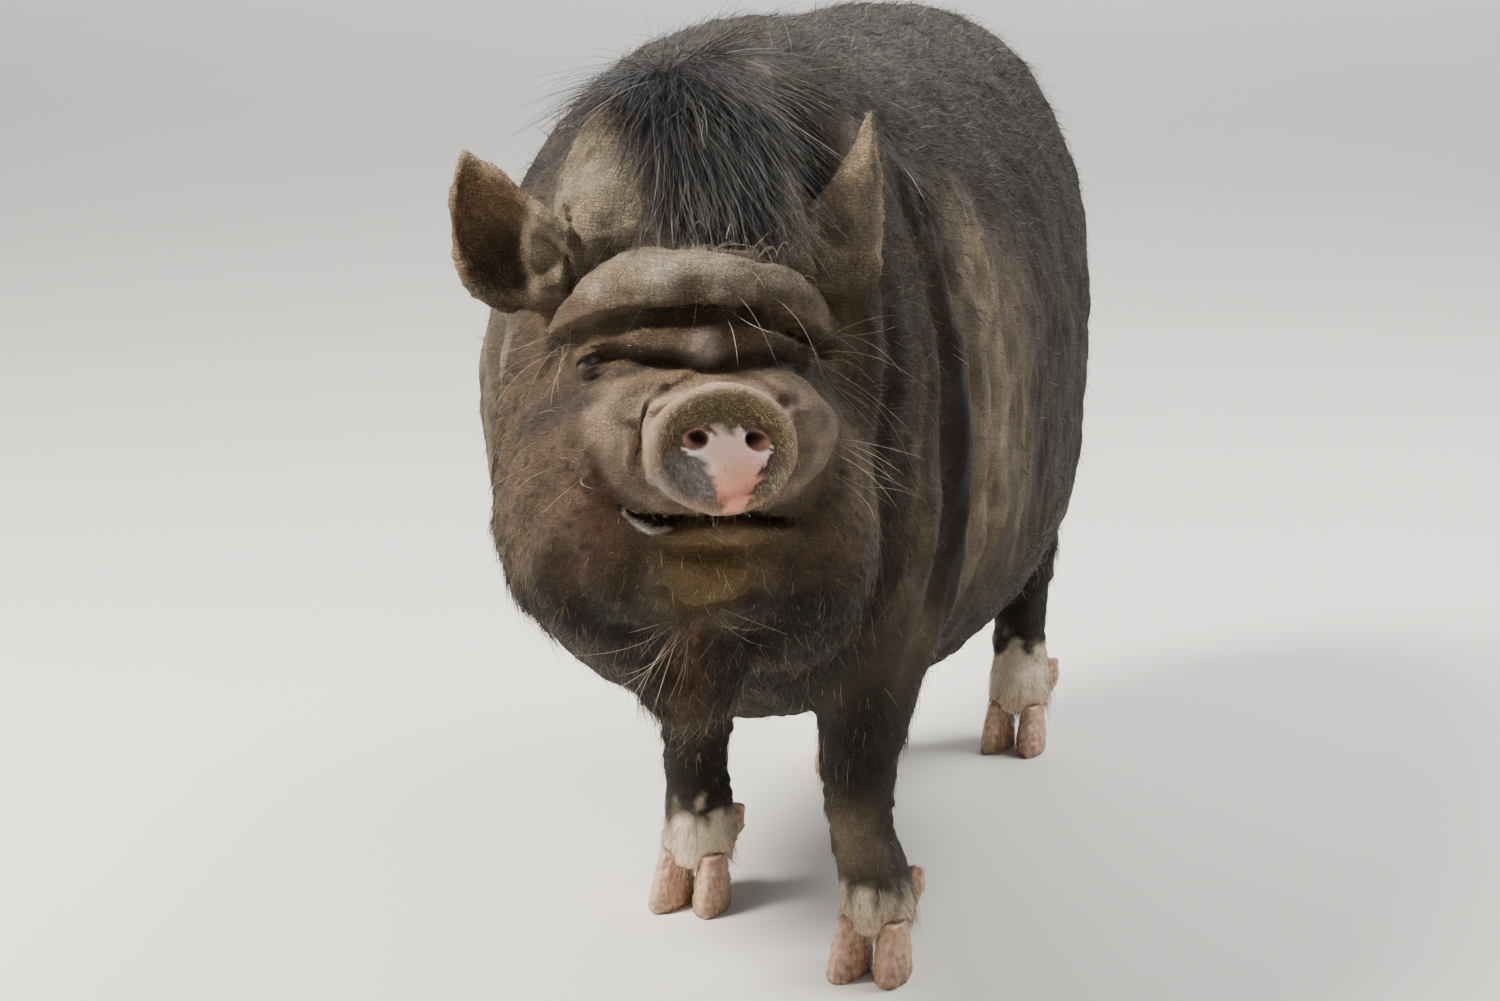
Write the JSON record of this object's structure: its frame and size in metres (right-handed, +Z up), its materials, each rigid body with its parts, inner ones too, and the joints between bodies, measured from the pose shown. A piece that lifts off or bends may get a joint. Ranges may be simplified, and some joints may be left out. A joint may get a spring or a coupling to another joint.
{
  "type": "pig",
  "caption": "A fat, wrinkled, black pot-bellied pig standing still with its head turned to its left and its nose raised a little; a life-size, museum-like model",
  "frame": {"origin": "floor level under the middle of the whole model's box", "axes": "+Z up, -Y the way the pig stands facing, +X towards its left side"},
  "size_m": [0.349, 0.9312, 0.578],
  "materials": {
    "hide": "matte",
    "face_hide": "matte",
    "snout_skin": "satin",
    "ear_hide": "matte",
    "foot_hide": "matte",
    "claw_horn": "satin",
    "dewclaw_horn": "satin",
    "eye": "gloss"
  },
  "bodies": {
    "root": {"belly": "hide", "chest": "hide", "claw_front_left_inner": "claw_horn", "claw_front_left_outer": "claw_horn", "claw_front_right_inner": "claw_horn", "claw_front_right_outer": "claw_horn", "claw_hind_left_inner": "claw_horn", "claw_hind_left_outer": "claw_horn", "claw_hind_right_inner": "claw_horn", "claw_hind_right_outer": "claw_horn", "dewclaw_front_left_inner": "dewclaw_horn", "dewclaw_front_left_outer": "dewclaw_horn", "dewclaw_front_right_inner": "dewclaw_horn", "dewclaw_front_right_outer": "dewclaw_horn", "dewclaw_hind_left_inner": "dewclaw_horn", "dewclaw_hind_left_outer": "dewclaw_horn", "dewclaw_hind_right_inner": "dewclaw_horn", "dewclaw_hind_right_outer": "dewclaw_horn", "ear_left": "ear_hide", "ear_right": "ear_hide", "eye_left": "eye", "eye_right": "eye", "front_foot_left": "foot_hide", "front_foot_right": "foot_hide", "front_leg_left": "hide", "front_leg_right": "hide", "head": "hide", "hind_foot_left": "foot_hide", "hind_foot_right": "foot_hide", "hind_leg_left": "hide", "hind_leg_right": "hide", "jaw": "face_hide", "muzzle": "face_hide", "neck": "hide", "rump": "hide", "snout_disk": "snout_skin", "tail": "hide"}
  },
  "joints": []
}
